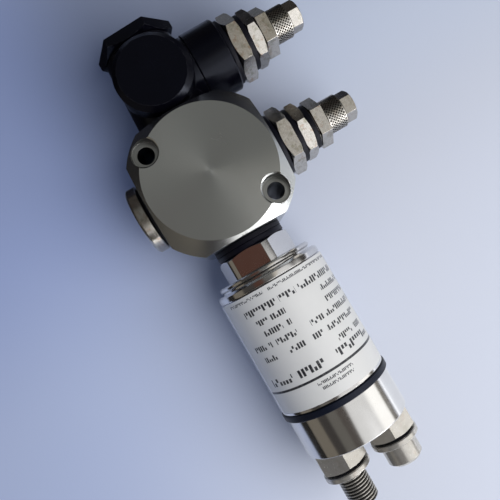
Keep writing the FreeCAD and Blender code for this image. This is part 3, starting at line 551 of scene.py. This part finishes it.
def soften(piece):
    """Round the sharp edges of a solid so that they catch the light."""
    weld = piece.modifiers.new("weld", "WELD")
    weld.merge_threshold = WELD_GAP * MM
    flat = piece.modifiers.new("whole_faces", "DECIMATE")
    flat.decimate_type = "DISSOLVE"
    flat.angle_limit = FLAT_ANGLE
    bevel = piece.modifiers.new("soft_edges", "BEVEL")
    bevel.width = SOFT_WIDTH * MM
    bevel.segments = EDGE_SEGMENTS
    bevel.limit_method = "ANGLE"
    bevel.angle_limit = SOFT_ANGLE
    even_shading(piece)


def even_shading(piece):
    """Let large faces shade flat and small bevels turn between them."""
    normals = piece.modifiers.new("even_shading", "WEIGHTED_NORMAL")
    normals.keep_sharp = True


for name in SOFT_PIECES:
    soften(nodes[name])


# New pieces, each drawn along its own X axis and then set in its place

SPIN_STEPS = 96
MERGE_GAP = 1e-5
CUT_GAP = 1e-6
HEXAGON_SIDES = 6
SHARP_ANGLE = math.radians(18)
SHADING_ANGLE = math.radians(38)


def spun(outline):
    """Spin a closed outline of (along, radius) corners into a ring."""
    bm = bmesh.new()
    corners = [bm.verts.new((along, 0, radius)) for along, radius in outline]
    sides = [bm.edges.new((corners[i - 1], corners[i])) for i in range(len(corners))]
    bmesh.ops.spin(bm, geom=corners + sides, cent=(0, 0, 0), axis=(1, 0, 0), angle=FULL_TURN,
                   steps=SPIN_STEPS, use_merge=True)
    return cleaned(bm)


def cleaned(bm):
    """Join corners that coincide, and turn every face outward."""
    bmesh.ops.remove_doubles(bm, verts=bm.verts, dist=MERGE_GAP)
    bmesh.ops.recalc_face_normals(bm, faces=bm.faces)
    return bm


def cut_off(bm, place, way):
    """Cut away what lies beyond a plane, and return the edges of the cut."""
    cut = bmesh.ops.bisect_plane(bm, geom=bm.verts[:] + bm.edges[:] + bm.faces[:], dist=CUT_GAP,
                                 plane_co=place, plane_no=way, clear_outer=True)["geom_cut"]
    return [item for item in cut if isinstance(item, bmesh.types.BMEdge)]


def cut_hexagon(bm, flats, angle):
    """Mill six flats. The first faces up, turned by the angle toward -Y."""
    for side in range(HEXAGON_SIDES):
        turn = math.radians(360 / HEXAGON_SIDES * side + angle)
        way = Vector((0, -math.sin(turn), math.cos(turn)))
        bmesh.ops.contextual_create(bm, geom=cut_off(bm, way * flats / 2, way))
    return cleaned(bm)


def round_edges(bm, width):
    """Round every sharp edge of a new piece."""
    sharp = [edge for edge in bm.edges if edge.calc_face_angle(0) > SHARP_ANGLE]
    bmesh.ops.bevel(bm, geom=sharp, offset=width, offset_type="OFFSET", segments=EDGE_SEGMENTS, profile=0.5,
                    affect="EDGES", clamp_overlap=True, material=-1)
    return bm


def close_ends(bm, liner):
    """Turn both open ends of a sleeve in or out by the liner's scale, and join them with a wall."""
    ends = [edge for edge in bm.edges if edge.is_boundary]
    made = bmesh.ops.extrude_edge_only(bm, edges=ends)["geom"]
    rim = [item for item in made if isinstance(item, bmesh.types.BMVert)]
    bmesh.ops.scale(bm, vec=(1, liner, liner), verts=rim)
    bmesh.ops.bridge_loops(bm, edges=[edge for edge in bm.edges if edge.is_boundary])
    return cleaned(bm)


KNURL_START = 0.4
KNURL_CREST = 6.98
KNURL_DEPTH = 0.30
KNURL_STEPS = 64
KNURL_ROWS = 11
KNURL_PITCH = 0.67
KNURL_LINER = 0.9
RIDGE_WIDTH = 0.15
FLANK_WIDTH = 0.08
DIAMOND_CORNERS = 4


def knurl():
    """A sleeve of crossed ridges with sunk diamonds between them."""
    bm = bmesh.new()
    row = [bm.verts.new((KNURL_PITCH * number, 0, KNURL_CREST)) for number in range(KNURL_ROWS + 1)]
    sides = [bm.edges.new(pair) for pair in zip(row, row[1:])]
    bmesh.ops.spin(bm, geom=row + sides, cent=(0, 0, 0), axis=(1, 0, 0), angle=FULL_TURN,
                   steps=KNURL_STEPS, use_merge=True)
    cleaned(bm)

    def is_crossing(vert):
        across = round(math.atan2(vert.co.y, vert.co.z) / FULL_TURN * KNURL_STEPS)
        return (round(vert.co.x / KNURL_PITCH) + across) % 2 == 1

    crossings = {vert for vert in bm.verts if is_crossing(vert)}
    for face in bm.faces[:]:
        first, second = [vert for vert in face.verts if vert in crossings]
        bmesh.utils.face_split(face, first, second)
    bmesh.ops.dissolve_verts(bm, verts=[v for v in bm.verts if v not in crossings and not v.is_boundary])
    diamonds = [face for face in bm.faces if len(face.verts) == DIAMOND_CORNERS]
    bmesh.ops.inset_individual(bm, faces=diamonds, thickness=RIDGE_WIDTH, depth=0.0)
    bmesh.ops.inset_individual(bm, faces=diamonds, thickness=FLANK_WIDTH, depth=-KNURL_DEPTH)
    bmesh.ops.translate(bm, vec=(KNURL_START, 0, 0), verts=bm.verts)
    return close_ends(bm, KNURL_LINER)


THREAD_STEPS = 64
SPARE_TURNS = 2
# One turn of a thread: the share of the pitch, and how far it stands out from root to crest
THREAD_FORM = ((0, 0), (0.1, 0), (0.42, 1), (0.58, 1), (0.9, 0), (1, 0))


def thread(start, end, root, crest, pitch, liner):
    """A sleeve with a right-hand thread outside, or inside when the root is wider than the crest."""
    bm = bmesh.new()
    turns = math.ceil((end - start) / pitch) + SPARE_TURNS
    corners = [bm.verts.new((start + (along - 1) * pitch, 0, crest if out else root))
               for along, out in THREAD_FORM]
    sides = [bm.edges.new(pair) for pair in zip(corners, corners[1:])]
    bmesh.ops.spin(bm, geom=corners + sides, cent=(0, 0, 0), axis=(1, 0, 0),
                   dvec=(pitch / THREAD_STEPS, 0, 0), angle=FULL_TURN * turns, steps=THREAD_STEPS * turns)
    cleaned(bm)
    for place, way in ((start, -1), (end, 1)):
        cut_off(bm, (place, 0, 0), (way, 0, 0))
    return close_ends(bm, liner)


def taper(bm, end, lead, radius):
    """Cut the lead of a thread down to a cone at its end."""
    for vert in bm.verts:
        out = math.hypot(vert.co.y, vert.co.z)
        limit = radius - lead + (end - vert.co.x)
        if out > limit:
            bmesh.ops.scale(bm, vec=(1, limit / out, limit / out), verts=[vert])
    return bm


def set_piece(name, shells, place, azimuth, finish, body):
    """Join shells into one piece, and set it in its place with its X axis turned to the azimuth."""
    mesh = bpy.data.meshes.new(name)
    whole = bmesh.new()
    for shell in shells:
        shell.to_mesh(mesh)
        shell.free()
        whole.from_mesh(mesh)
    move = Matrix.Translation(place) @ Matrix.Rotation(math.radians(azimuth), 4, "Z")
    bmesh.ops.transform(whole, matrix=Matrix.Scale(MM, 4) @ move, verts=whole.verts)
    for face in whole.faces:
        face.smooth = True
    whole.to_mesh(mesh)
    whole.free()
    mesh.set_sharp_from_angle(angle=SHADING_ANGLE)
    piece = bpy.data.objects.new(name, mesh)
    bpy.context.scene.collection.objects.link(piece)
    dress(piece, finish)
    even_shading(piece)
    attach(piece, body)
    return piece


# Outlines of the nuts and the male connector: corners along the axis and out from it
NUT_SLEEVE = ((0, 5.28), (0, 6.35), (0.4, 6.6), (7.8, 6.6), (8.2, 6.35), (8.2, 4.0), (7.4, 5.28))
NUT_HEXAGON = ((8.0, 3.1), (8.0, 6.33), (12.5, 6.33), (13.1, 5.3), (13.1, 3.4), (12.8, 3.1))
NUT_FLATS = 11.0
PLUG_CORE = ((-5, 4.45), (-5, 7.7), (-4.7, 8.0), (0.2, 8.0), (0.2, 7.4), (10.9, 7.4), (10.9, 9.45),
             (11.2, 9.75), (12.8, 9.75), (13.1, 9.45), (13.1, 5.2), (26.3, 5.2), (26.3, 4.45))
PLUG_HEXAGON = ((0, 6.5), (0, 10.6), (8.95, 10.6), (10, 8.8), (10, 6.5))
PLUG_FLATS = 18.4
PLUG_ANGLE = 25.0
MALE_THREAD_RADIUS = 6.0
MALE_THREAD_END = 26.4
MALE_THREAD_LEAD = 0.8
# Azimuths, in degrees
ALONG_X = 0
ALONG_Y = 90


def union_nut(name, x, y, angle, body, node):
    """A knurled sleeve and a small hexagon."""
    sleeve = round_edges(spun(NUT_SLEEVE), width=0.1)
    hexagon = round_edges(cut_hexagon(spun(NUT_HEXAGON), NUT_FLATS, angle), width=0.12)
    shells = [sleeve, knurl(), hexagon]
    piece = set_piece(name, shells, (x, y, PORT_Z), ALONG_Y, KNURLED_NICKEL, body)
    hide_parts(node)


def male_plug():
    """The connector with an outside thread, at -Y."""
    core = round_edges(spun(PLUG_CORE), width=0.1)
    hexagon = round_edges(cut_hexagon(spun(PLUG_HEXAGON), PLUG_FLATS, PLUG_ANGLE), width=0.15)
    coil = thread(start=13.0, end=MALE_THREAD_END, root=5.25, crest=MALE_THREAD_RADIUS,
                  pitch=1.25, liner=0.86)
    taper(coil, MALE_THREAD_END, MALE_THREAD_LEAD, MALE_THREAD_RADIUS)
    place = (PLUG_X, -PLUG_Y, PORT_Z)
    piece = set_piece("male_plug", [core, hexagon, coil], place, ALONG_X, PLUG_NICKEL, "base")
    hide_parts("male_connector")


def female_thread():
    """The turns inside the other connector's sleeve, at +Y."""
    coil = thread(start=124.0, end=131.8, root=5.6, crest=5.1, pitch=1.0, liner=1.06)
    set_piece("female_thread", [coil], (0, PLUG_Y, PORT_Z), ALONG_X, PLUG_NICKEL, "base")


union_nut("direct_knurled_nut", x=0.0, y=50.4, angle=6.0, body="direct_nut", node="direct_union_nut")
union_nut("elbow_knurled_nut", x=HUB_X, y=50.3, angle=28.0, body="elbow_nut", node="elbow_union_nut")
male_plug()
female_thread()


# Room that metal mirrors

ROOM_DARK = rgb(0.055, 0.050, 0.047)
ROOM_MIRRORED_TWICE = rgb(0.02, 0.02, 0.022)
MIRRORED_TWICE_DEPTH = (2.2, 2.8)
EVEN_LIGHT = rgb(0.125, 0.147, 0.205)
BACKDROP = rgb(0.80, 0.83, 0.92)
# Areas overhead: toward, cosines of the outer and inner rim, colour
CEILING = (
    ((-0.25, 0.0, 0.97), 0.85, 0.97, (0.155, 0.158, 0.153)),
    ((0.33, -0.18, 0.92), 0.93, 0.985, (0.100, 0.088, 0.080)),
    ((0.33, -0.50, 0.80), 0.975, 0.993, (0.150, 0.142, 0.128)),
    ((-0.02, -0.43, 0.90), 0.972, 0.992, (0.092, 0.045, 0.034)),
    ((0.12, 0.31, 0.945), 0.960, 0.999, (0.62, 0.57, 0.49)),
    ((0.55, 0.45, 0.70), 0.800, 0.840, (0.88, 0.88, 0.88)),
    ((0.36, 0.84, 0.41), 0.925, 0.985, (1.40, 1.39, 1.36)),
    ((0.32, 0.945, 0.06), 0.984, 0.996, (0.22, 0.205, 0.185)),
)
# A wall, a tall window and a low window: the same, with the heights where they start and are full
SIDES = (
    ((0.2, -1.0, 0.25), 0.70, 0.85, (0.47, 0.40), (0.19, 0.17, 0.14)),
    ((0.70, 0.35, 0.62), 0.90, 0.96, (0.20, 0.26), (1.7, 1.7, 1.73)),
    ((0.93, 0.28, 0.05), 0.80, 0.95, (0.21, 0.16), (2.2, 2.2, 2.25)),
)
BRIGHT_PANE_WAY = (0.80, 0.52, 0.29)
BRIGHT_PANE_RIM = (0.955, 0.985)
BRIGHT_PANE = rgb(8.0, 8.0, 8.2)


def room():
    """A dim room that only metal sees, a backdrop for the camera, and a faint even light for the rest."""
    world = bpy.data.worlds.new("studio")
    bpy.context.scene.world = world
    world.use_nodes = True
    s = Sheet(world.node_tree)
    toward = s.node("ShaderNodeTexCoord", output="Generated")
    lift = s.split(toward)[2]
    to_camera = s.node("ShaderNodeLightPath", output="Is Camera Ray")
    to_gloss = s.node("ShaderNodeLightPath", output="Is Glossy Ray")
    mirrored_twice = s.step(s.node("ShaderNodeLightPath", output="Ray Depth"), *MIRRORED_TWICE_DEPTH)

    def near(way, low, high):
        """1 toward one side of the room and 0 elsewhere, between two cosines."""
        return s.step(s.match(toward, Vector(way).normalized()), low, high)

    seen = ROOM_DARK
    for way, low, high, colour in CEILING:
        seen = s.mix(near(way, low, high), seen, rgb(*colour))
    for way, low, high, heights, colour in SIDES:
        seen = s.mix(near(way, low, high) * s.step(lift, *heights), seen, rgb(*colour))
    seen = s.mix(near(BRIGHT_PANE_WAY, *BRIGHT_PANE_RIM), seen, BRIGHT_PANE)
    seen = s.mix(mirrored_twice * 0.8, seen, ROOM_MIRRORED_TWICE)
    ambient = s.mix(to_gloss, EVEN_LIGHT, seen)
    s.feed(s.tree.nodes["Background"].inputs["Color"], s.mix(to_camera, ambient, BACKDROP))


# Table that the part lies on

TABLE_SIZE = 3000.0
TABLE_GAP = 0.2
# Painted light and shade: the table runs from a shaded blue to a lit pale tone toward the lamp's side
TABLE_SHADED_BLUE = rgb(0.52, 0.595, 0.81)
TABLE_LIT_PALE = rgb(0.66, 0.685, 0.755)
LIT_SIDE_WAY = (0.5, 0.866)
LIT_SIDE_REACH = (-70.0, 90.0)
# Painted shade: the table darker toward -X
FALLOFF_SHADE_X = (-120.0, 60.0)
FALLOFF_SHADE_LEVEL = 0.78
# Painted shadow: a dark pool on the table near the elbow, which reflections don't see
SHADOW_POOL_SPOT = (-88.0, 8.0)
SHADOW_POOL_RADIUS = (80.0, 20.0)
# Painted reflection: a glow of the table that only metal sees, far out toward +X and +Y, then fading
GLOW_WAY = (0.6, 0.8)
GLOW_START = (200.0, 500.0)
GLOW_FADE = (420.0, 600.0)
BACKDROP_RADIUS = (250.0, 1200.0)
# Painted shade and light on the table, which reflections don't see: a bluer shaded area and a paler lit area:
# where they start and are full along X and along Y, strength, colour
PAINTED_SHADE_AND_LIGHT = (
    ((60.0, -30.0), (0.0, -60.0), 0.15, (0.02, 0.16, 0.80)),
    ((30.0, -40.0), (20.0, 80.0), 0.35, (0.70, 0.80, 0.98)),
)
# Painted reflections: areas of the table that only metal sees, painted darker or lighter to stand in for
# shade and light mirrored there: where they start and are full along X and along Y, colour. WHOLE lies beyond
# the table, so that an area isn't limited that way.
WHOLE = (-4000.0, -3900.0)
PAINTED_MIRRORED_AREAS = (
    ((-115.0, -170.0), WHOLE, (0.05, 0.05, 0.055)),
    ((-38.0, -70.0), (32.0, 46.0), (0.20, 0.21, 0.23)),
    ((-24.0, -44.0), (66.0, 76.0), (0.04, 0.04, 0.05)),
    ((-22.0, -40.0), (-16.0, -30.0), (0.03, 0.03, 0.04)),
    ((40.0, 110.0), (-50.0, 20.0), (0.84, 0.86, 0.90)),
    (WHOLE, (-95.0, -140.0), (0.04, 0.035, 0.03)),
)


def pale_table():
    """A pale top that runs out into the backdrop, with painted light and shade, a painted shadow near the
    elbow, and areas that only metal sees, painted darker, lighter and glowing in places.
    """
    f = Finish("pale_table")
    fibre = f.noise(f.place, scale=0.8, detail=4.0)
    cloud = f.noise(f.place, scale=0.012, detail=2.0)
    mirrored = f.node("ShaderNodeLightPath", output="Is Glossy Ray")
    plain = 1 - mirrored

    def along(way):
        return f.x * way[0] + f.y * way[1]

    def area(across_x, across_y):
        return f.step(f.x, *across_x) * f.step(f.y, *across_y)

    # Painted light and shade: paler toward the lamp's side, bluer away from it
    pale = f.step(along(LIT_SIDE_WAY), *LIT_SIDE_REACH) * 0.9 + cloud * 0.1
    base = f.mix(pale, TABLE_SHADED_BLUE, TABLE_LIT_PALE)
    # Painted shade: the table darker toward -X
    base = f.tint(f.step(f.x, *FALLOFF_SHADE_X) * (1 - FALLOFF_SHADE_LEVEL) + FALLOFF_SHADE_LEVEL, base, 1.0)
    # Painted shadow: the table darker in a pool near the elbow
    dim = plain * f.step(radius_about(f, f.x - SHADOW_POOL_SPOT[0], f.y - SHADOW_POOL_SPOT[1]), *SHADOW_POOL_RADIUS)
    base = f.mix(dim * 0.3, base, BLACK)
    # Painted shade and light in areas of the table
    for across_x, across_y, strength, colour in PAINTED_SHADE_AND_LIGHT:
        base = f.mix(plain * area(across_x, across_y) * strength, base, rgb(*colour))
    # Painted reflections: areas of the table darker or lighter for metal only
    for across_x, across_y, colour in PAINTED_MIRRORED_AREAS:
        base = f.mix(mirrored * area(across_x, across_y), base, rgb(*colour))
    # Painted reflection: the table glows for metal only, far out toward +X and +Y
    reach = along(GLOW_WAY)
    far = mirrored * f.step(reach, *GLOW_START) * (0.95 - f.step(reach, *GLOW_FADE) * 0.55)
    backdrop = plain * f.step(radius_about(f, f.x, f.y), *BACKDROP_RADIUS)
    base = f.mix(backdrop, base, BLACK)
    glow = f.mix(backdrop, f.grey(far), BACKDROP)
    return f.set(base_color=base, emission_color=glow, emission_strength=1.0, roughness=0.75,
                 specular_ior_level=0.0, normal=f.bump(fibre, 0.02))


def table():
    """A flat top just under the part."""
    mesh = bpy.data.meshes.new("floor")
    bm = bmesh.new()
    bmesh.ops.create_grid(bm, x_segments=2, y_segments=2, size=TABLE_SIZE * MM)
    bm.to_mesh(mesh)
    bm.free()
    floor = bpy.data.objects.new("floor", mesh)
    bpy.context.scene.collection.objects.link(floor)
    dress(floor, pale_table())
    floor.location.z = -TABLE_GAP * MM


# Lamp and camera

LAMP_AIM = Vector((30.0, 0.0, 20.0)) * MM
LAMP_WAY = Vector((0.48, 0.40, 0.78)).normalized()
LAMP_DISTANCE = 500.0
LAMP_SIZE = 540.0
LAMP_POWER = 2.80

EYE = Vector((37.67, -6.645, 235.67)) * MM
BACK = Vector((0.0323, -0.0256, 0.99915)).normalized()
RIGHT = Vector((0.5014, 0.8652, 0.0060)).normalized()
SENSOR_WIDTH = 36.0
PICTURE_PIXELS = 500
FOCAL_PIXELS = 528.1
NEAR_CLIP = 10.0


def soft_box():
    """One large soft lamp, which metal doesn't mirror."""
    data = bpy.data.lights.new("soft_box", "AREA")
    data.shape = "DISK"
    data.size = LAMP_SIZE * MM
    data.energy = LAMP_POWER
    place = LAMP_AIM + LAMP_WAY * (LAMP_DISTANCE * MM)
    lamp = bpy.data.objects.new("soft_box", data)
    lamp.location = place
    lamp.rotation_euler = (LAMP_AIM - place).to_track_quat("-Z", "Y").to_euler()
    lamp.visible_glossy = False
    bpy.context.scene.collection.objects.link(lamp)


def camera():
    """The photograph's place: nearly straight above, with the transmitter pointing down the picture."""
    up = BACK.cross(RIGHT).normalized()
    right = up.cross(BACK)
    data = bpy.data.cameras.new("camera")
    data.sensor_width = SENSOR_WIDTH
    data.lens = SENSOR_WIDTH * FOCAL_PIXELS / PICTURE_PIXELS
    data.clip_start = NEAR_CLIP * MM
    made = bpy.data.objects.new("camera", data)
    made.matrix_world = Matrix((
        (right.x, up.x, BACK.x, EYE.x),
        (right.y, up.y, BACK.y, EYE.y),
        (right.z, up.z, BACK.z, EYE.z),
        (0, 0, 0, 1),
    ))
    bpy.context.scene.collection.objects.link(made)
    bpy.context.scene.camera = made


bpy.context.scene.view_settings.view_transform = "Standard"
room()
table()
soft_box()
camera()
